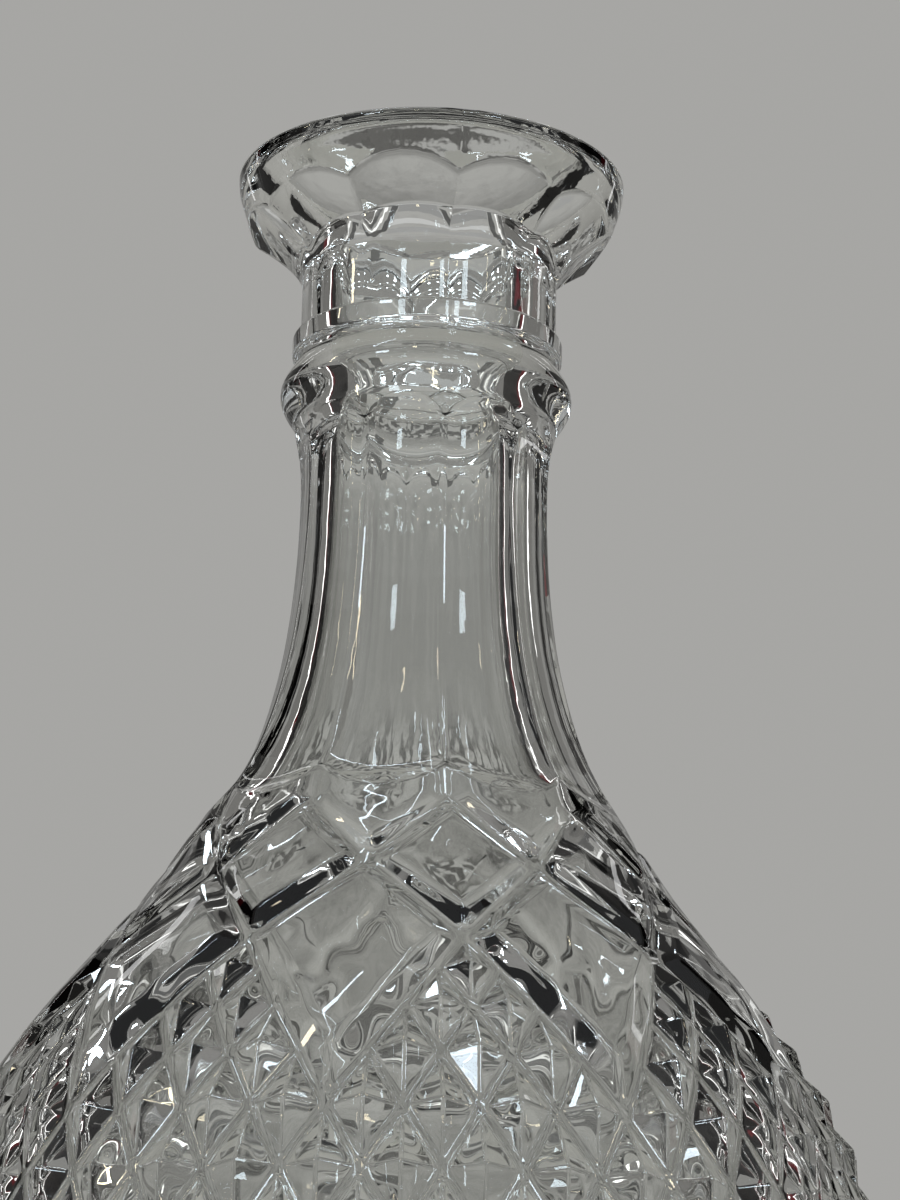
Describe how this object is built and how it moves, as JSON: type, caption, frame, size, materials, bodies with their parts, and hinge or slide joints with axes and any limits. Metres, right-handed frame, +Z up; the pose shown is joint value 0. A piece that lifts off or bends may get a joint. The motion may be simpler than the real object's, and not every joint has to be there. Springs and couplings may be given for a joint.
{
  "type": "wine carafe",
  "caption": "Clear pressed-glass wine carafe with flared scalloped mouth, ringed and panelled neck, and a round body covered in pyramid diamonds below smooth lozenges.",
  "frame": {"origin": "centre of the resting plane of the foot, on the vessel's axis", "axes": "+Z up along the vessel's axis, +X through a ridge of the neck"},
  "size_m": [0.1358, 0.1358, 0.255],
  "materials": {
    "clear_crystal": "clear fire-polished pressed crystal glass, neutral in colour"
  },
  "bodies": {
    "root": {"glass_vessel": "clear_crystal"}
  },
  "joints": []
}
